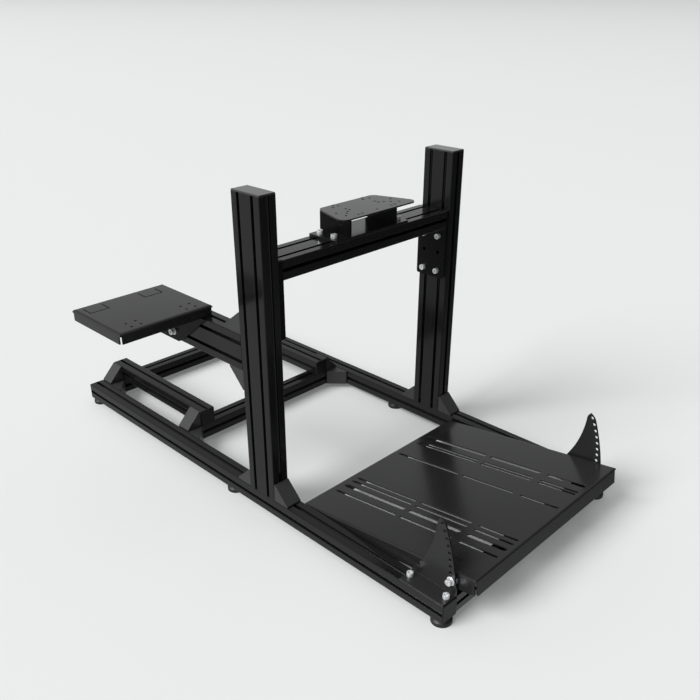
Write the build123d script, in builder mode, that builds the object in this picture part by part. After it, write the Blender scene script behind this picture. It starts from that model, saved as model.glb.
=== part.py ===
from build123d import *
import os
from math import cos, radians, sin

os.makedirs("parts", exist_ok=True)

# Sim racing cockpit, an open frame of slotted extrusion. Millimetres and degrees.
# The floor is z = 0, the pedals are at -Y, the driver's right is -X, the origin is mid-frame.

# Slotted extrusion: one square module, or two side by side
module = 40.0
corner_radius = 2.0
slot_mouth = 8.2
slot_lip = 4.5
slot_width = 20.0
slot_shoulder = 8.3
slot_depth = 12.3
slot_floor_width = 11.0
core_bore = 6.8
slot_wall = 2.0
skin_wall = 2.2

# Frame layout
track_width = 590.0
rail_length = 1220.0
foot_height = 13.5
seat_rail_length = 400.0
seat_rail_gap = 40.0
upright_length = 644.0
upright_y = -118.0
crossbar_height = 552.0
arm_length = 295.0
arm_height = 373.0

# Plastic end caps
cap_thickness = 2.5
upright_cap_thickness = 3.0
cap_draft = 18.0
peg_width = 4.4
peg_length = 9.0

# Levelling feet
foot_radius = 20.5
foot_rim = 7.5
foot_neck_radius = 14.0
foot_inset = 15.0

# Corner brackets
bracket_width = 38.0
bracket_wall = 3.0
bracket_nose = 3.0
small_leg = 40.0
rail_leg = 43.0
arm_top_leg = 59.0
arm_top_rise = 46.0
arm_bottom_drop = 44.5

# Clearance hole of an M8 screw
bolt_radius = 4.3

# Plates that hang the crossbar between the uprights; the hole rows are measured below it
end_plate_thickness = 10.0
end_plate_height = 162.0
end_plate_rows = (22.0, 61.0, 105.0)
end_plate_corner_radius = 5.0

# Wheel mount
mount_x = 3.8
bridge_fold_radius = 5.0
mount_base_length = 216.4
mount_base_thickness = 5.6
mount_foot_spread = 192.0
mount_rise = 49.2
bridge_width = 140.0
bridge_wall = 4.0
bridge_rear = 7.0
wheel_plate_thickness = 3.0
wheel_plate_x = 8.4
wheel_plate_overhang = 17.8
wheel_plate_length = 103.3
wheel_plate_front_width = 229.6
wheel_plate_rear_width = 162.2
wheel_plate_front_radius = 16.0
wheel_plate_rear_radius = 18.0
wheel_hole_radius = 3.0
wheel_front_row = ((0.0, 14.5), (43.5, 14.5), (54.5, 14.5))
wheel_middle_rows = ((43.5, 50.0), (43.5, 61.0), (54.5, 45.0), (65.5, 36.0), (79.5, 24.5), (81.0, 50.5))
wheel_rear_rows = ((43.5, 98.0), (37.0, 89.0), (54.5, 86.5))

# Shifter shelf
shelf_fold_radius = 6.0
shelf_thickness = 3.0
shelf_width = 218.5
shelf_length = 182.5
shelf_overhang = 194.0
shelf_setback = 119.0
shelf_rise = 24.0
shelf_arm_clearance = 1.5
shelf_corner_gap = 5.0
shelf_bolt_radius = 3.2
shelf_bolt_pitch = 21.0
shelf_bolt_insets = (48.5, 177.0)
shelf_bolt_row = 28.0
shelf_loop_insets = (37.5, 165.5)
shelf_loop_row = 150.0
shelf_loop_width = 45.0
shelf_loop_length = 30.5
shelf_loop_cut = 3.0

# Gusset that holds the shelf on the arm; its places are set back from the shelf's front fold
gusset_thickness = 5.0
gusset_clearance = 1.0
gusset_nose = 18.0
gusset_toe = (75.0, 6.7)
gusset_heel = 89.0
gusset_flange = 120.0
gusset_flange_inset = 42.0
gusset_bolts = (104.0, 144.0)
gusset_bolt_radius = 5.3

# Pedal tray
tray_fold_radius = 4.0
tray_thickness = 3.0
tray_side_gap = 4.0
tray_length = 449.0
tray_depth = 34.0
tray_overhang = 34.6
tray_rear_drop = 7.8
tray_tilt = 7.75
tray_corner_gap = 5.0
thin_slot = 6.5
thick_slot = 10.5
slot_spans = ((17.8, 190.4), (201.5, 332.0), (349.0, 438.0))
thin_rows = (-169.0, -118.5, -102.7, 39.0, 104.6, 114.6)
thick_rows = (-141.0, 143.0)
rear_pivot_inset = 20.0
front_pivot_inset = 400.5
tray_pivot_drop = 17.0
spacer_width = 15.0

# Fins beside the tray; their places are set back from the end of the rail
fin_thickness = 4.0
fin_length = 101.0
fin_toe = (0.0, 12.0)
fin_brow = (10.0, 73.0)
fin_shoulder = (29.0, 135.5)
fin_crown = (35.0, 146.5)
fin_tip = (44.0, 153.0)
fin_crest = (48.5, 146.5)
fin_nape = (50.0, 138.0)
fin_hollow = (61.0, 83.0)
fin_heel_height = 8.0
fin_screws = (8.5, 92.5)
fin_hole_radius = 3.6
fin_hole_count = 8
fin_row_low = 46.6
fin_row_high = 143.5
fin_row_front = (14.5, 42.0)
fin_row_radius = 227.0
fin_small_hole_radius = 2.2
fin_small_hole = (85.5, 26.0)

# Worked out from the values above
rail_x = (track_width - module) / 2
rail_z = foot_height + module / 2
deck = foot_height + module
inner_x = track_width / 2 - module
rail_end = rail_length / 2
seat_front = rail_end - seat_rail_length
beam_rows = {"front": -rail_end + module / 2, "middle": seat_front + module / 2, "rear": rail_end - module / 2}
seat_x = inner_x - seat_rail_gap - module / 2
upright_front = upright_y - module
upright_rear = upright_y + module
upright_top = deck + upright_length
crossbar_top = crossbar_height + module / 2
crossbar_bottom = crossbar_height - module / 2
crossbar_end = inner_x - end_plate_thickness
arm_top = arm_height + module
arm_bottom = arm_height - module
shelf_top = arm_top + shelf_rise
shelf_under = shelf_top - shelf_thickness
shelf_depth = shelf_rise - shelf_arm_clearance
shelf_outer_x = -track_width / 2 - shelf_overhang
shelf_front_y = upright_rear + shelf_setback
tray_width = 2 * (inner_x - tray_side_gap)
tray_slope = radians(tray_tilt)
tray_rear_y = tray_length * cos(tray_slope) - rail_end - tray_overhang
sides = {"right": -1, "left": 1}


def save(part, name):
    """Label one node and write its file."""
    part.label = name
    export_step(part, f"parts/{name}.step")


def slot_cut():
    """One slot of the extrusion, its mouth on the line y = 0."""
    with BuildSketch() as slot:
        with BuildLine():
            Polyline(
                (0, corner_radius),
                (slot_mouth / 2, corner_radius),
                (slot_mouth / 2, -slot_lip),
                (slot_width / 2, -slot_lip),
                (slot_width / 2, -slot_shoulder),
                (slot_floor_width / 2, -slot_depth),
                (0, -slot_depth),
            )
            mirror(about=Plane.YZ)
        make_face()
    return slot.sketch


def slotted_section(modules):
    """Section of the extrusion: modules side by side along x, a slot in each outer face."""
    half = module / 2
    middles = [(i - (modules - 1) / 2) * module for i in range(modules)]
    mouths = [Location((x, s * half, 0), (0, 0, 90 - 90 * s)) for x in middles for s in (1, -1)]
    mouths += [Location((s * (middles[-1] + half), 0, 0), (0, 0, -90 * s)) for s in (1, -1)]
    hollow = half - slot_width / 2 - slot_wall - skin_wall
    reach = half - skin_wall - hollow / 2
    cut = slot_cut()
    with BuildSketch() as section:
        RectangleRounded(modules * module, module, corner_radius)
        with Locations(*mouths):
            add(cut, mode=Mode.SUBTRACT)
        with Locations(*[(x, 0) for x in middles]):
            Circle(core_bore / 2, mode=Mode.SUBTRACT)
        with GridLocations(2 * (middles[-1] + reach), 2 * reach, 2, 2):
            Rectangle(hollow, hollow, mode=Mode.SUBTRACT)
        if modules == 2:
            Rectangle(module - slot_width - 2 * slot_wall, module - 2 * skin_wall, mode=Mode.SUBTRACT)
    return section.sketch


sections = {1: slotted_section(1), 2: slotted_section(2)}


def beam(name, start, along, across, length, modules=1):
    """One cut length of extrusion; across is the way the modules lie side by side."""
    with BuildPart() as bar:
        with BuildSketch(Plane(origin=start, x_dir=across, z_dir=along)):
            add(sections[modules])
        extrude(amount=length)
    save(bar.part, name)


def end_cap(middle, outward, across, thickness, modules=1):
    """A plastic cap on the end of an extrusion, with a square peg in each round bore."""
    seat = Plane(origin=middle, x_dir=across, z_dir=outward)
    with BuildSketch(seat) as lid:
        RectangleRounded(modules * module, module, corner_radius)
    extrude(lid.sketch, amount=thickness, taper=cap_draft)
    with BuildSketch(seat) as pegs:
        with GridLocations(module, module, modules, 1):
            Rectangle(peg_width, peg_width)
    extrude(pegs.sketch, amount=-peg_length)


def levelling_foot(x, y):
    """A low round foot with a coned top that meets the underside of the rail."""
    axis = Plane(origin=(x, y, 0), x_dir=(1, 0, 0), z_dir=(0, -1, 0))
    with BuildSketch(axis) as half:
        with BuildLine():
            Polyline(
                (0, 0),
                (foot_radius, 0),
                (foot_radius, foot_rim),
                (foot_neck_radius, foot_height),
                (0, foot_height),
                close=True,
            )
        make_face()
    revolve(half.sketch, axis=Axis((x, y, 0), (0, 0, 1)))


def bracket_side(leg_1, leg_2):
    """Side of a corner bracket: two legs, blunt toes and the slope between them."""
    with BuildSketch() as outline:
        with BuildLine():
            Polyline((0, 0), (leg_1, 0), (leg_1, bracket_nose), (bracket_nose, leg_2), (0, leg_2), close=True)
        make_face()
    return outline.sketch


def bracket(name, corner, along_1, along_2, leg_1=small_leg, leg_2=small_leg):
    """A closed corner bracket, hollow between its legs, its two cheeks and its cover."""
    side = Plane(origin=corner, x_dir=along_1, z_dir=Vector(*along_1).cross(Vector(*along_2)))
    outline = bracket_side(leg_1, leg_2)
    with BuildPart() as shape:
        with BuildSketch(side):
            add(outline)
        extrude(amount=bracket_width / 2, both=True)
        with BuildSketch(side):
            add(outline)
            offset(amount=-bracket_wall)
        extrude(amount=bracket_width / 2 - bracket_wall, both=True, mode=Mode.SUBTRACT)
    save(shape.part, name)


def folded_tray(plane, width, length, depth, thickness, fold_radius, corner_gap):
    """A sheet with its four edges folded down, open at the corners; the plane is its top."""
    up = Axis(plane.origin, plane.z_dir)
    with BuildPart() as tray:
        with BuildSketch(plane.offset(-depth)):
            Rectangle(width, length)
        extrude(amount=depth)
        fillet(tray.faces().sort_by(up)[-1].edges(), fold_radius)
        offset(amount=-thickness, openings=tray.faces().sort_by(up)[0])
        with BuildSketch(plane.offset(-depth)):
            with GridLocations(width - corner_gap, length - corner_gap, 2, 2):
                Rectangle(corner_gap, corner_gap)
        extrude(amount=depth - fold_radius, mode=Mode.SUBTRACT)
    return tray.part


# Levelling feet under the rails
for side, s in sides.items():
    with BuildPart() as feet:
        for y in (-rail_end + foot_inset, 0, rail_end - foot_inset):
            levelling_foot(s * rail_x, y)
    save(feet.part, f"{side}_feet")

# Base rails, with a cap on each end
for side, s in sides.items():
    beam(f"{side}_rail", (s * rail_x, -rail_end, rail_z), (0, 1, 0), (1, 0, 0), rail_length)
    with BuildPart() as caps:
        for end in (-1, 1):
            end_cap((s * rail_x, end * rail_end, rail_z), (0, end, 0), (1, 0, 0), cap_thickness)
    save(caps.part, f"{side}_rail_end_caps")

# Crossbeams between the base rails, each held by two brackets that lie flat in the frame
for row, y in beam_rows.items():
    beam(f"{row}_crossbeam", (-inner_x, y, rail_z), (1, 0, 0), (0, 1, 0), 2 * inner_x)
    toward = 1 if row == "front" else -1
    for side, s in sides.items():
        corner = (s * inner_x, y + toward * module / 2, rail_z)
        bracket(f"{row}_{side}_corner_bracket", corner, (-s, 0, 0), (0, toward, 0), leg_2=rail_leg)

# Seat rails on the middle and rear crossbeams, with caps, and brackets on the outer sides
for side, s in sides.items():
    seat_z = deck + module / 2
    beam(f"{side}_seat_rail", (s * seat_x, seat_front, seat_z), (0, 1, 0), (1, 0, 0), seat_rail_length)
    with BuildPart() as caps:
        for end, y in ((-1, seat_front), (1, rail_end)):
            end_cap((s * seat_x, y, seat_z), (0, end, 0), (1, 0, 0), cap_thickness)
    save(caps.part, f"{side}_seat_rail_end_caps")
    for row in ("middle", "rear"):
        corner = (s * (seat_x + module / 2), beam_rows[row], deck)
        bracket(f"{row}_{side}_seat_bracket", corner, (s, 0, 0), (0, 0, 1), leg_1=seat_rail_gap)

# Uprights on the rails, with a bracket in front and behind, and caps on top
for side, s in sides.items():
    x = s * rail_x
    beam(f"{side}_upright", (x, upright_y, deck), (0, 0, 1), (0, 1, 0), upright_length, modules=2)
    bracket(f"{side}_upright_front_bracket", (x, upright_front, deck), (0, -1, 0), (0, 0, 1))
    bracket(f"{side}_upright_rear_bracket", (x, upright_rear, deck), (0, 1, 0), (0, 0, 1), leg_1=rail_leg)

with BuildPart() as upright_caps:
    for s in sides.values():
        end_cap((s * rail_x, upright_y, upright_top), (0, 0, 1), (0, 1, 0), upright_cap_thickness, modules=2)
save(upright_caps.part, "upright_caps")

# Crossbar, and the plate on each end of it that bolts to the upright's inner face
beam("crossbar", (-crossbar_end, upright_y, crossbar_height), (1, 0, 0), (0, 1, 0), 2 * crossbar_end, modules=2)
for side, s in sides.items():
    face = Plane(origin=(s * crossbar_end, upright_y, crossbar_top), x_dir=(0, s, 0), z_dir=(s, 0, 0))
    with BuildPart() as end_plate:
        with BuildSketch(face):
            with Locations((0, -end_plate_height / 2)):
                RectangleRounded(2 * module, end_plate_height, end_plate_corner_radius)
            for drop in end_plate_rows:
                with Locations((0, -module - drop)):
                    with GridLocations(module, 0, 2, 1):
                        Circle(bolt_radius, mode=Mode.SUBTRACT)
        extrude(amount=end_plate_thickness)
    save(end_plate.part, f"crossbar_{side}_bracket")

# Wheel mount: base plate on the crossbar, bent bridge and the drilled plate on top
with BuildPart() as wheel_mount_base:
    with BuildSketch(Plane((mount_x, upright_y, crossbar_top))):
        RectangleRounded(mount_base_length, 2 * module, corner_radius)
        with GridLocations(mount_foot_spread, module, 2, 2):
            Circle(bolt_radius, mode=Mode.SUBTRACT)
    extrude(amount=mount_base_thickness)
save(wheel_mount_base.part, "wheel_mount_base")

bridge_low = crossbar_top + mount_base_thickness
bridge_top = crossbar_top + mount_rise - wheel_plate_thickness
bridge_length = 2 * module + bridge_rear
with BuildPart() as wheel_mount_bridge:
    with BuildSketch(Plane(origin=(mount_x, upright_front, bridge_low), x_dir=(-1, 0, 0), z_dir=(0, 1, 0))):
        with Locations((0, (bridge_top - bridge_low) / 2)):
            Rectangle(bridge_width, bridge_top - bridge_low)
    extrude(amount=bridge_length)
    fillet(wheel_mount_bridge.edges().filter_by(Axis.Y).group_by(Axis.Z)[-1], bridge_fold_radius)
    openings = wheel_mount_bridge.faces().filter_by(Axis.Y) + wheel_mount_bridge.faces().sort_by(Axis.Z)[:1]
    offset(amount=-bridge_wall, openings=openings)
save(wheel_mount_bridge.part, "wheel_mount_bridge")

plate_front = upright_front - wheel_plate_overhang
with BuildPart() as wheel_mount_plate:
    with BuildSketch(Plane((wheel_plate_x, plate_front, bridge_top))) as plate_outline:
        front, rear = wheel_plate_front_width / 2, wheel_plate_rear_width / 2
        with BuildLine():
            Polyline((-front, 0), (front, 0), (rear, wheel_plate_length), (-rear, wheel_plate_length), close=True)
        make_face()
        fillet(plate_outline.vertices().group_by(Axis.Y)[0], wheel_plate_front_radius)
        fillet(plate_outline.vertices().group_by(Axis.Y)[-1], wheel_plate_rear_radius)
        holes = wheel_front_row + wheel_middle_rows + wheel_rear_rows
        with Locations(*{(s * x, y) for x, y in holes for s in (1, -1)}):
            Circle(wheel_hole_radius, mode=Mode.SUBTRACT)
    extrude(amount=wheel_plate_thickness)
save(wheel_mount_plate.part, "wheel_mount_plate")

# Shifter arm behind the right upright, with a bracket above and below it
arm_start = (-rail_x, upright_rear, arm_height)
beam("shifter_arm", arm_start, (0, 1, 0), (0, 0, 1), arm_length, modules=2)
bracket("arm_top_bracket", (-rail_x, upright_rear, arm_top), (0, 1, 0), (0, 0, 1), arm_top_leg, arm_top_rise)
bracket("arm_bottom_bracket", (-rail_x, upright_rear, arm_bottom), (0, 1, 0), (0, 0, -1), rail_leg, arm_bottom_drop)

# Shifter shelf: a folded tray with two hand loops and two groups of bolt holes
shelf_corner = Plane((shelf_outer_x, shelf_front_y, shelf_top))
shelf_middle = shelf_corner.shift_origin((shelf_outer_x + shelf_width / 2, shelf_front_y + shelf_length / 2, shelf_top))
shelf_blank = folded_tray(
    shelf_middle, shelf_width, shelf_length, shelf_depth, shelf_thickness, shelf_fold_radius, shelf_corner_gap
)
with BuildPart() as shifter_shelf:
    add(shelf_blank)
    with BuildSketch(shelf_corner):
        for inset in shelf_bolt_insets:
            with Locations((inset, shelf_bolt_row)):
                with GridLocations(shelf_bolt_pitch, shelf_bolt_pitch, 2, 2):
                    Circle(shelf_bolt_radius)
        for inset in shelf_loop_insets:
            with Locations((inset, shelf_loop_row)):
                Rectangle(shelf_loop_width, shelf_loop_length)
            with Locations((inset, shelf_loop_row + shelf_loop_cut)):
                Rectangle(shelf_loop_width - 2 * shelf_loop_cut, shelf_loop_length, mode=Mode.SUBTRACT)
    extrude(amount=-shelf_thickness, mode=Mode.SUBTRACT)
save(shifter_shelf.part, "shifter_shelf")

# Gusset on the arm's outer face, with a flange under the shelf
gusset_y = shelf_front_y + shelf_fold_radius + gusset_clearance
gusset_length = shelf_length - 2 * (shelf_fold_radius + gusset_clearance)
gusset_high = shelf_under - arm_bottom
gusset_brow = shelf_top - shelf_depth - gusset_clearance - arm_bottom
gusset_face = Plane(origin=(-track_width / 2, gusset_y, arm_bottom), x_dir=(0, 1, 0), z_dir=(1, 0, 0))
with BuildPart() as shelf_bracket:
    with BuildSketch(gusset_face):
        with BuildLine():
            Polyline(
                (gusset_heel, 0),
                (gusset_length, 0),
                (gusset_length, gusset_high),
                (0, gusset_high),
                (0, gusset_brow),
                (-gusset_nose, gusset_brow),
                gusset_toe,
                close=True,
            )
        make_face()
        with Locations(*[(y, module / 2) for y in gusset_bolts]):
            Circle(gusset_bolt_radius, mode=Mode.SUBTRACT)
    extrude(amount=-gusset_thickness)
    with BuildSketch(Plane.XY.offset(shelf_under)):
        flange_length = gusset_length - gusset_flange_inset
        with Locations((-track_width / 2 - gusset_flange / 2, gusset_y + gusset_length - flange_length / 2)):
            Rectangle(gusset_flange, flange_length)
    extrude(amount=-gusset_thickness)
save(shelf_bracket.part, "shelf_bracket")

# Pedal tray: a slotted sheet, folded down all round, tilted up toward the front
tray_normal = (0, sin(tray_slope), cos(tray_slope))
rear_edge = Plane(origin=(0, tray_rear_y, deck - tray_rear_drop), x_dir=(1, 0, 0), z_dir=tray_normal)
tray_top = rear_edge.shift_origin(rear_edge.from_local_coords((0, -tray_length / 2, 0)))
rear_pivot = rear_edge.from_local_coords((-tray_width / 2, -rear_pivot_inset, -tray_pivot_drop))
front_pivot = rear_edge.from_local_coords((-tray_width / 2, -front_pivot_inset, -tray_pivot_drop))
tray_blank = folded_tray(
    tray_top, tray_width, tray_length, tray_depth, tray_thickness, tray_fold_radius, tray_corner_gap
)
with BuildPart() as pedal_plate:
    add(tray_blank)
    with BuildSketch(rear_edge):
        for rows, width in ((thin_rows, thin_slot), (thick_rows, thick_slot)):
            for low, high in slot_spans:
                with Locations(*[(x, -(low + high) / 2) for x in rows]):
                    SlotOverall(high - low, width, rotation=90)
    extrude(amount=-tray_thickness, mode=Mode.SUBTRACT)
    for pivot in (rear_pivot, front_pivot):
        with BuildSketch(Plane(origin=pivot, z_dir=(1, 0, 0))):
            Circle(bolt_radius)
        extrude(amount=tray_width, mode=Mode.SUBTRACT)
save(pedal_plate.part, "pedal_plate")

# Hexagonal spacers between the tray's sides and what holds them: the fin in front, the rail behind
with BuildPart() as tray_spacers:
    for s in sides.values():
        for pivot in (front_pivot, rear_pivot):
            with BuildSketch(Plane(origin=(s * tray_width / 2, pivot.Y, pivot.Z), z_dir=(s, 0, 0))):
                RegularPolygon(spacer_width / 2, 6, major_radius=False)
                Circle(bolt_radius, mode=Mode.SUBTRACT)
            extrude(amount=tray_side_gap)
save(tray_spacers.part, "tray_spacers")

# Fins: a foot on the rail, and a tapered web with an arc of holes to set the tray's tilt
fin_foot_width = module - fin_thickness
for side, s in sides.items():
    web = Plane(origin=(s * inner_x, -rail_end, deck), x_dir=(0, 1, 0), z_dir=(1, 0, 0))
    with BuildPart() as fin:
        with BuildSketch(web):
            with BuildLine():
                heel = (fin_length, fin_heel_height)
                Polyline(heel, (fin_length, 0), (0, 0), fin_toe)
                ThreePointArc(fin_toe, fin_brow, fin_shoulder)
                ThreePointArc(fin_shoulder, fin_crown, fin_tip)
                ThreePointArc(fin_tip, fin_crest, fin_nape)
                ThreePointArc(fin_nape, fin_hollow, heel)
            make_face()
            for i in range(fin_hole_count):
                z = fin_row_low + i * (fin_row_high - fin_row_low) / (fin_hole_count - 1)
                sag = fin_row_radius - (fin_row_radius**2 - (z - fin_row_front[1]) ** 2) ** 0.5
                with Locations((fin_row_front[0] + sag, z)):
                    Circle(fin_hole_radius, mode=Mode.SUBTRACT)
            with Locations((front_pivot.Y + rail_end, front_pivot.Z - deck)):
                Circle(bolt_radius, mode=Mode.SUBTRACT)
            with Locations(fin_small_hole):
                Circle(fin_small_hole_radius, mode=Mode.SUBTRACT)
        extrude(amount=s * fin_thickness)
        with BuildSketch(Plane((s * rail_x, -rail_end, deck))):
            with Locations((s * fin_thickness / 2, fin_length / 2)):
                Rectangle(fin_foot_width, fin_length)
            with Locations(*[(0, y) for y in fin_screws]):
                Circle(bolt_radius, mode=Mode.SUBTRACT)
        extrude(amount=fin_thickness)
    save(fin.part, f"{side}_pedal_fin")
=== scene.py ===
import bpy
from math import radians
from mathutils import Matrix, Vector


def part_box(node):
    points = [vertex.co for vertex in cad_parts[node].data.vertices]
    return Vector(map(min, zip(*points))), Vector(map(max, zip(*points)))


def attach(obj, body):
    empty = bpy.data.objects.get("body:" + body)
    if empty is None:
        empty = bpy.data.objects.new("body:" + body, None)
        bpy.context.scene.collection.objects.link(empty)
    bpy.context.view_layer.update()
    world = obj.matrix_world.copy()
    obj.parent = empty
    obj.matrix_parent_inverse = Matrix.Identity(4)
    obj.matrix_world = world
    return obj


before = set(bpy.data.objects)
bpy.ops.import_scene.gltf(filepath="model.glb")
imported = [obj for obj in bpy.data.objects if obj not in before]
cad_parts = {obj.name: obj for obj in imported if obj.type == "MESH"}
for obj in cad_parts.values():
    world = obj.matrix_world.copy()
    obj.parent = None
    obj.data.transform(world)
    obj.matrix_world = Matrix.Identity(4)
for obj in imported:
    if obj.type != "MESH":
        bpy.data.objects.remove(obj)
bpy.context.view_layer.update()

# Camera, as the photograph was taken: a little above the uprights, from the driver's right
# and from in front of the pedals, with a normal lens. The photograph is cropped off centre,
# so the lens is shifted by as much.
photo_width = 700
focal_pixels = 783.8
crop_right = 6.58
crop_up = 37.77
camera_place = Vector((-1.1576, -1.2227, 1.0355))
camera_yaw = radians(-45.172)
camera_pitch = radians(-27.578)
camera_roll = radians(-0.146)
lens = bpy.data.cameras.new("photo_camera")
lens.sensor_width = 36.0
lens.lens = focal_pixels / photo_width * lens.sensor_width
lens.shift_x = crop_right / photo_width
lens.shift_y = crop_up / photo_width
camera = bpy.data.objects.new("photo_camera", lens)
bpy.context.collection.objects.link(camera)
turned = Matrix.Rotation(camera_yaw, 4, "Z")
tipped = Matrix.Rotation(radians(90) + camera_pitch, 4, "X")
rolled = Matrix.Rotation(camera_roll, 4, "Z")
camera.matrix_world = Matrix.Translation(camera_place) @ (turned @ tipped) @ rolled
bpy.context.scene.camera = camera
bpy.context.scene.view_settings.view_transform = "Standard"

# Studio floor: a wide sheet of pale matt paper that takes soft shadows. A little of its tone
# is lit evenly for the camera, as an overexposed backdrop is, and it doesn't show in gloss.
floor_size = 260
even_share = 0.15


def linear(code):
    """The linear colour of an sRGB hex value."""
    values = [int(code[i : i + 2], 16) / 255 for i in (1, 3, 5)]
    return [v / 12.92 if v <= 0.04045 else ((v + 0.055) / 1.055) ** 2.4 for v in values] + [1.0]


def node(owner, kind, inputs=None, **settings):
    """A node in a material or in the world, with its settings, its values and its links."""
    made = owner.node_tree.nodes.new(kind)
    for name, value in settings.items():
        setattr(made, name, value)
    for name, value in (inputs or {}).items():
        socket = made.inputs[name]
        if isinstance(value, bpy.types.NodeSocket):
            owner.node_tree.links.new(value, socket)
        else:
            socket.default_value = value
    return made


paper = bpy.data.materials.new("pale_paper")
paper.use_nodes = True
paper_grey = linear("#e6e8e7")
rays = node(paper, "ShaderNodeLightPath")
matt = node(paper, "ShaderNodeBsdfDiffuse", {"Color": paper_grey})
seen = node(
    paper,
    "ShaderNodeMath",
    {0: rays.outputs["Is Camera Ray"], 1: even_share},
    operation="MULTIPLY",
)
even = node(paper, "ShaderNodeEmission", {"Color": paper_grey, "Strength": 1.0})
floor_mix = node(
    paper,
    "ShaderNodeMixShader",
    {0: seen.outputs[0], 1: matt.outputs[0], 2: even.outputs[0]},
)
paper_out = paper.node_tree.nodes["Material Output"]
paper.node_tree.links.new(floor_mix.outputs[0], paper_out.inputs["Surface"])
bpy.ops.object.select_all(action="DESELECT")
bpy.ops.mesh.primitive_plane_add(size=floor_size)
floor = bpy.context.object
floor.name = "paper_floor"
floor.data.materials.append(paper)
floor.visible_glossy = False

# Studio room: pale walls above, behind and on the driver's right, which fall off to dark beyond
# the pedals, with a dim band at and below eye level. Black paint shows that room, so the fronts
# of the bars stay darker than their sides. Each stop is a height from -1 to 1 and its level.
dark_side_stops = (
    (-1.0, 0.6), (1.0, 0.66), (-0.66, 0.52), (-0.45, 0.2), (-0.3, 0.04), (0.1, 0.04), (0.6, 0.3),
)
bright_side_stops = (
    (-1.0, 0.85), (1.0, 0.66), (-0.8, 0.8), (-0.69, 0.64), (-0.6, 0.44), (-0.1, 0.5),
    (0.2, 0.76), (0.33, 0.6), (0.45, 0.37), (0.62, 0.4),
)
bright_side = Vector((-0.62, 0.78, 0.1)).normalized()
bright_side_starts = -0.62
bright_side_full = -0.05
backdrop_level = 0.85
room = bpy.context.scene.world or bpy.data.worlds.new("room")
bpy.context.scene.world = room
room.use_nodes = True
ways = node(room, "ShaderNodeTexCoord")
heights = node(room, "ShaderNodeSeparateXYZ", {0: ways.outputs["Generated"]})
height = node(room, "ShaderNodeMapRange", {0: heights.outputs["Z"], 1: -1.0, 2: 1.0})
sides = []
for stops in (dark_side_stops, bright_side_stops):
    ramp = node(room, "ShaderNodeValToRGB", {0: height.outputs[0]})
    for number, (up, level) in enumerate(stops):
        place = (up + 1) / 2
        marks = ramp.color_ramp.elements
        stop = marks[number] if number < 2 else marks.new(place)
        stop.position = place
        stop.color = (level, level, level, 1.0)
    sides.append(ramp.outputs[0])
toward = node(
    room,
    "ShaderNodeVectorMath",
    {0: ways.outputs["Generated"], 1: bright_side},
    operation="DOT_PRODUCT",
)
side = node(
    room,
    "ShaderNodeMapRange",
    {0: toward.outputs["Value"], 1: bright_side_starts, 2: bright_side_full},
    interpolation_type="SMOOTHSTEP",
)
fall = node(
    room,
    "ShaderNodeMix",
    {"Factor": side.outputs[0], 6: sides[0], 7: sides[1]},
    data_type="RGBA",
)
sight = node(room, "ShaderNodeLightPath")
shown = node(
    room,
    "ShaderNodeMix",
    {"Factor": sight.outputs["Is Camera Ray"], 6: fall.outputs[2], 7: [backdrop_level] * 3 + [1.0]},
    data_type="RGBA",
)
backdrop = room.node_tree.nodes["Background"]
backdrop.inputs["Color"].default_value = linear("#f7f8f8")
room.node_tree.links.new(shown.outputs[2], backdrop.inputs["Strength"])

# Studio lamp: one large round softbox, high and far off on the driver's right and a little
# behind, so that its light falls off little over the floor and its shadows have soft edges.
key = bpy.data.lights.new("soft_key", "AREA")
key.shape = "DISK"
key.size = 71.0
key.energy = 150000
key_lamp = bpy.data.objects.new("soft_key", key)
bpy.context.collection.objects.link(key_lamp)
key_lamp.location = (-90.0, 22.0, 76.0)
key_lamp.rotation_euler = (-key_lamp.location).to_track_quat("-Z", "Y").to_euler()

# Slotted extrusion: 40 mm 6063 aluminium bars, etched and black anodised. The oxide is glassy
# black, with die lines along the bar. The lines are a fraction of a millimetre apart on the real
# bar, and are drawn 3 mm apart here, because finer ones would not show.
die_line = 0.003
run_out = 0.6
tone_patches_per_metre = 7.0
noise_low = 0.3
noise_high = 0.7
edge_lean_starts = 0.97
edge_lean_full = 0.8
edge_highlight_strength = 0.6


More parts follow.
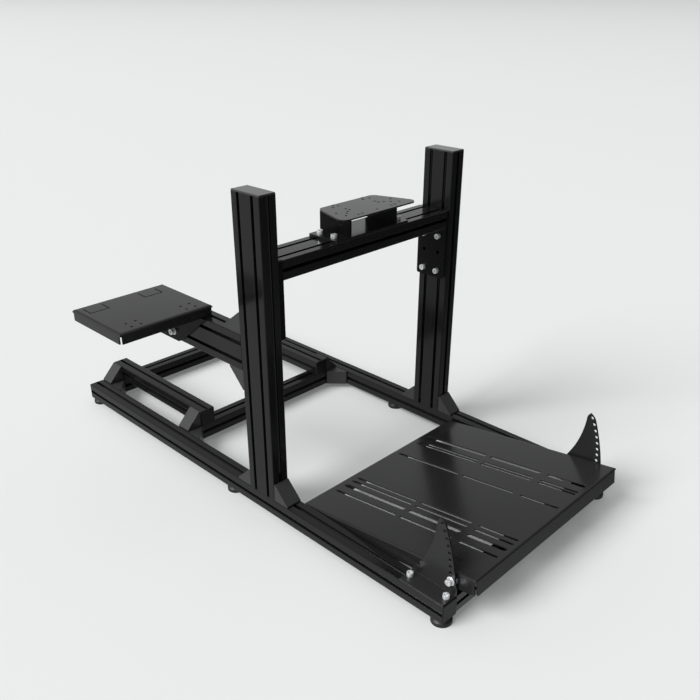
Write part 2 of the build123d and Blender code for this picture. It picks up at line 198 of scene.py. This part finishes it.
def black_finish(name, dark, light, roughness, grain, grain_depth, edge_highlight, radius, specular=0.5):
    """A black finish: its grain in m along each axis, a slow change of tone, and edges painted paler
    as a painted highlight.
    """
    made = bpy.data.materials.new(name)
    made.use_nodes = True
    shader = made.node_tree.nodes["Principled BSDF"]
    place = node(made, "ShaderNodeTexCoord")
    stretched = node(
        made,
        "ShaderNodeMapping",
        {"Vector": place.outputs["Object"], "Scale": [1 / size for size in grain]},
    )
    fine = node(
        made,
        "ShaderNodeTexNoise",
        {"Vector": stretched.outputs[0], "Scale": 1.0, "Detail": 2.0},
    )
    slow = node(
        made,
        "ShaderNodeTexNoise",
        {"Vector": place.outputs["Object"], "Scale": tone_patches_per_metre, "Detail": 2.0},
    )
    tone = node(
        made,
        "ShaderNodeMix",
        {"Factor": slow.outputs[0], 6: linear(dark), 7: linear(light)},
        data_type="RGBA",
    )
    # Where the rounded normal leans away from the true one, the edge is painted a little paler: a
    # painted highlight along the edge.
    rounded = node(made, "ShaderNodeBevel", {"Radius": radius}, samples=4)
    true = node(made, "ShaderNodeNewGeometry")
    bend = node(
        made,
        "ShaderNodeVectorMath",
        {0: rounded.outputs[0], 1: true.outputs["Normal"]},
        operation="DOT_PRODUCT",
    )
    edge_highlight_mask = node(
        made,
        "ShaderNodeMapRange",
        {0: bend.outputs["Value"], 1: edge_lean_starts, 2: edge_lean_full, 3: 0.0, 4: edge_highlight_strength},
    )
    edge_highlighted_tone = node(
        made,
        "ShaderNodeMix",
        {"Factor": edge_highlight_mask.outputs[0], 6: tone.outputs[2], 7: linear(edge_highlight)},
        data_type="RGBA",
    )
    gloss = node(
        made,
        "ShaderNodeMapRange",
        {0: fine.outputs[0], 1: noise_low, 2: noise_high, 3: roughness[0], 4: roughness[1]},
    )
    relief = node(
        made,
        "ShaderNodeBump",
        {
            "Height": fine.outputs[0],
            "Strength": 0.5,
            "Distance": grain_depth,
            "Normal": rounded.outputs[0],
        },
    )
    shader.inputs["Specular IOR Level"].default_value = specular
    made.node_tree.links.new(edge_highlighted_tone.outputs[2], shader.inputs["Base Color"])
    made.node_tree.links.new(gloss.outputs[0], shader.inputs["Roughness"])
    made.node_tree.links.new(relief.outputs[0], shader.inputs["Normal"])
    return made


def finish(material, *names):
    """Put a material on CAD nodes."""
    for name in names:
        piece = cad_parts[name]
        piece.data.materials.clear()
        piece.data.materials.append(material)


crosswise = ["front_crossbeam", "middle_crossbeam", "rear_crossbeam", "crossbar"]
lengthwise = ["right_rail", "left_rail", "right_seat_rail", "left_seat_rail", "shifter_arm"]
upright = ["right_upright", "left_upright"]
for axis, names in (
    ((run_out, die_line, die_line), crosswise),
    ((die_line, run_out, die_line), lengthwise),
    ((die_line, die_line, run_out), upright),
):
    letter = "xyz"[axis.index(run_out)]
    anodised = black_finish(
        f"black_anodised_aluminium_{letter}",
        "#111112", "#161617", (0.12, 0.2), axis, 0.00002, "#2c2c2e", 0.0006, specular=0.38,
    )
    finish(anodised, *names)

# Levelling feet: low discs of moulded black nylon that hold the rails clear of the floor. The
# mould's fine grain leaves them matt.
moulded_grain = (0.0025,) * 3
# Their rounded rims are painted paler, a painted highlight on the rim.
nylon = black_finish(
    "moulded_black_nylon",
    "#121212", "#181818", (0.42, 0.54), moulded_grain, 0.00003, "#2e2e2e", 0.0012,
)
finish(nylon, "right_feet", "left_feet")

# End caps: moulded lids of black ABS, pressed into the open ends of the bars. A spark-eroded
# grain spreads the gloss of those on the rails. The two on the uprights are polished and a
# little greyer, and mirror what is above them.
abs_plastic = black_finish(
    "moulded_black_abs",
    "#121212", "#181818", (0.3, 0.42), moulded_grain, 0.00003, "#2a2a2a", 0.0008, specular=0.25,
)
finish(
    abs_plastic,
    "right_rail_end_caps", "left_rail_end_caps", "right_seat_rail_end_caps", "left_seat_rail_end_caps",
)
polished_abs = black_finish(
    "polished_black_abs",
    "#1e1e1e", "#242424", (0.14, 0.22), moulded_grain, 0.00002, "#303030", 0.0008, specular=0.9,
)
finish(polished_abs, "upright_caps")

# Corner brackets: die-cast aluminium angles, bolted into the corners between the bars. Their
# fine-texture powder coat is duller than the bars and clearly greyer.
cast_grain = (0.003,) * 3
powder_coat = black_finish(
    "die_cast_black_powder_coat",
    "#2c2c2d", "#333334", (0.38, 0.5), cast_grain, 0.00004, "#3a3a3b", 0.0015,
)
sheet_brackets = ("crossbar_right_bracket", "crossbar_left_bracket", "shelf_bracket")
cast_brackets = [
    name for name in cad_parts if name.endswith("bracket") and name not in sheet_brackets
]
finish(powder_coat, *cast_brackets)

# Plates and folded sheet: laser-cut steel under smooth black powder coat, with the faint orange
# peel of sprayed coating, drawn about 4 mm wide. The wheel mount's two plates are glossy, and
# the fins low in gloss and paler.
orange_peel = (0.004,) * 3
sheet_coat = black_finish(
    "gloss_black_powder_coat",
    "#121213", "#171718", (0.14, 0.2), orange_peel, 0.00002, "#2c2c2d", 0.0008,
)
finish(sheet_coat, "wheel_mount_base", "wheel_mount_plate")
fin_coat = black_finish(
    "low_gloss_black_powder_coat",
    "#1a1a1b", "#202021", (0.28, 0.36), orange_peel, 0.00002, "#303031", 0.0008,
)
finish(fin_coat, "right_pedal_fin", "left_pedal_fin")

# Bridge, end plates and gusset: steel plate and sheet in a flat coat that reflects least and
# stays the deepest black. The shelf and the tray have a satin coat, paler and with more sheen.
dull_coat = black_finish(
    "flat_black_powder_coat",
    "#08080a", "#0d0d0e", (0.2, 0.3), orange_peel, 0.00002, "#2c2c2d", 0.0008, specular=0.13,
)
finish(dull_coat, "wheel_mount_bridge", *sheet_brackets)
tray_coat = black_finish(
    "satin_black_powder_coat",
    "#1b1b1c", "#202021", (0.16, 0.24), orange_peel, 0.00002, "#2c2c2d", 0.0012,
)
finish(tray_coat, "shifter_shelf", "pedal_plate")

# Spacers of the tray: short lengths of hexagonal steel bar between its sides and what carries
# it. Zinc plating makes them a bright cold grey with a faint cloud, drawn 2.5 mm wide.
cloud_size = 0.0025
zinc = bpy.data.materials.new("zinc_plated_steel")
zinc.use_nodes = True
zinc_shader = zinc.node_tree.nodes["Principled BSDF"]
zinc_place = node(zinc, "ShaderNodeTexCoord")
zinc_cloud = node(
    zinc,
    "ShaderNodeTexNoise",
    {"Vector": zinc_place.outputs["Object"], "Scale": 1 / cloud_size, "Detail": 2.0},
)
zinc_tone = node(
    zinc,
    "ShaderNodeMix",
    {"Factor": zinc_cloud.outputs[0], 6: linear("#dcdee0"), 7: linear("#f0f1f2")},
    data_type="RGBA",
)
zinc_gloss = node(
    zinc,
    "ShaderNodeMapRange",
    {0: zinc_cloud.outputs[0], 1: noise_low, 2: noise_high, 3: 0.3, 4: 0.42},
)
zinc_shader.inputs["Metallic"].default_value = 0.6
zinc.node_tree.links.new(zinc_tone.outputs[2], zinc_shader.inputs["Base Color"])
zinc.node_tree.links.new(zinc_gloss.outputs[0], zinc_shader.inputs["Roughness"])
finish(zinc, "tray_spacers")

# Cap screws M8: cold-headed steel, zinc plated, a low cylinder with a plain bright side, a
# rounded top edge and a six-sided socket. Modelled once here and copied to each place.
head_radius = 0.0065
head_height = 0.008
head_rounding = 0.0007
head_rim = 0.0005
socket_radius = 0.0035
socket_depth = 0.004


def only(chosen):
    """Select these faces of the mesh in edit mode and nothing else."""
    bpy.ops.object.mode_set(mode="OBJECT")
    mesh = bpy.context.object.data
    for part in (*mesh.vertices, *mesh.edges, *mesh.polygons):
        part.select = False
    for face in mesh.polygons:
        face.select = chosen(face)
    bpy.ops.object.mode_set(mode="EDIT")


bpy.ops.object.select_all(action="DESELECT")
bpy.ops.mesh.primitive_cylinder_add(
    vertices=24, radius=head_radius, depth=head_height, location=(0, 0, head_height / 2)
)
screw = bpy.context.object
bpy.ops.object.transform_apply(location=True)
bpy.ops.object.mode_set(mode="EDIT")
bpy.ops.mesh.select_mode(type="FACE")
only(lambda face: face.normal.z > 0.9)
bpy.ops.mesh.bevel(offset=head_rounding, segments=2, affect="EDGES")
only(lambda face: face.normal.z > 0.99)
bpy.ops.mesh.inset(thickness=head_rim)
bpy.ops.object.mode_set(mode="OBJECT")
bpy.ops.mesh.primitive_cylinder_add(
    vertices=6, radius=socket_radius, depth=2 * socket_depth, location=(0, 0, head_height)
)
socket = bpy.context.object
screw.select_set(True)
bpy.context.view_layer.objects.active = screw
cut = screw.modifiers.new("socket", "BOOLEAN")
cut.object = socket
bpy.ops.object.modifier_apply(modifier=cut.name)
bpy.data.objects.remove(socket)
screw.data.materials.append(zinc)

# Screws of the crossbar's end plates: two in the highest and two in the lowest row of holes on
# each inner face, into slot nuts in the uprights. The middle row is left empty.
plate_row_drops = (0.062, 0.145)
slot_offset = 0.02


def place_copies(source, name, places, direction):
    """Copy a piece that stands on z = 0 to places, its top toward the direction; one object."""
    turn = Vector(direction).to_track_quat("Z", "Y").to_matrix().to_4x4()
    bpy.ops.object.select_all(action="DESELECT")
    for place in places:
        copy = source.copy()
        copy.data = source.data.copy()
        bpy.context.collection.objects.link(copy)
        copy.data.transform(Matrix.Translation(place) @ turn)
        copy.select_set(True)
        bpy.context.view_layer.objects.active = copy
    if len(places) > 1:
        bpy.ops.object.join()
    made = bpy.context.object
    made.name = name
    bpy.ops.object.shade_smooth_by_angle(angle=radians(35))
    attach(made, "root")


for side, s in (("right", -1), ("left", 1)):
    low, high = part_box(f"crossbar_{side}_bracket")
    face_x = high[0] if s < 0 else low[0]
    middle_y = (low[1] + high[1]) / 2
    rows = [high[2] - drop for drop in plate_row_drops]
    places = [Vector((face_x, middle_y + e * slot_offset, z)) for e in (-1, 1) for z in rows]
    place_copies(screw, f"{side}_end_plate_screws", places, (-s, 0, 0))

# Screws of the wheel mount: the same cap screws, down through the ends of its base plate into
# the two top slots of the crossbar.
mount_screw_spread = 0.096
low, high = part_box("wheel_mount_base")
mount_x, mount_y = [(low[i] + high[i]) / 2 for i in (0, 1)]
places = [
    Vector((mount_x + e * mount_screw_spread, mount_y + n * slot_offset, high[2]))
    for e in (-1, 1)
    for n in (-1, 1)
]
place_copies(screw, "wheel_mount_screws", places, (0, 0, 1))

# Bolts of the shelf's gusset: the same cap screws over plain washers, stamped from steel and
# zinc plated, into the lower slot of the shifter arm.
washer_radius = 0.0085
washer_thickness = 0.0016
washer_bevel = 0.0003
gusset_thickness = 0.005
gusset_bolt_insets = (0.122, 0.162)
slot_height = 0.02
bpy.ops.object.select_all(action="DESELECT")
bpy.ops.mesh.primitive_cylinder_add(
    vertices=32, radius=washer_radius, depth=washer_thickness, location=(0, 0, washer_thickness / 2)
)
washer = bpy.context.object
bpy.ops.object.transform_apply(location=True)
bpy.ops.object.mode_set(mode="EDIT")
bpy.ops.mesh.select_mode(type="FACE")
only(lambda face: face.normal.z > 0.9)
bpy.ops.mesh.bevel(offset=washer_bevel, segments=1, affect="EDGES")
bpy.ops.object.mode_set(mode="OBJECT")
washer.data.materials.append(zinc)
arm_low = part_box("shifter_arm")[0]
gusset_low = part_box("shelf_bracket")[0]
gusset_face_x = arm_low[0] - gusset_thickness
places = [
    Vector((gusset_face_x, gusset_low[1] + inset, arm_low[2] + slot_height))
    for inset in gusset_bolt_insets
]
bolt_places = [place - Vector((washer_thickness, 0, 0)) for place in places]
place_copies(washer, "gusset_washers", places, (-1, 0, 0))
place_copies(screw, "gusset_bolts", bolt_places, (-1, 0, 0))

# Screws of the fins' feet, down into the top slot of the rails, and the bolt on which the tray
# tilts, through the fin and into a spacer, with a washer under its head.
fin_thickness = 0.004
fin_screw_insets = (0.0085, 0.0925)
half_bar = 0.02
spacer_half_corner = 0.00866
spacer_half_width = 0.0075
spacer_low, spacer_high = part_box("tray_spacers")
pivot_y = spacer_low[1] + spacer_half_corner
pivot_z = spacer_high[2] - spacer_half_width
for side, s in (("right", -1), ("left", 1)):
    rail_low, rail_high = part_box(f"{side}_rail")
    middle_x = (rail_low[0] + rail_high[0]) / 2
    low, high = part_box(f"{side}_pedal_fin")
    foot_top = low[2] + fin_thickness
    places = [Vector((middle_x, low[1] + inset, foot_top)) for inset in fin_screw_insets]
    place_copies(screw, f"{side}_fin_foot_screws", places, (0, 0, 1))
    pivot = Vector((middle_x - s * (half_bar - fin_thickness), pivot_y, pivot_z))
    head_place = pivot + Vector((s * washer_thickness, 0, 0))
    place_copies(washer, f"{side}_pivot_washer", [pivot], (s, 0, 0))
    place_copies(screw, f"{side}_pivot_bolt", [head_place], (s, 0, 0))
bpy.data.objects.remove(screw)
bpy.data.objects.remove(washer)
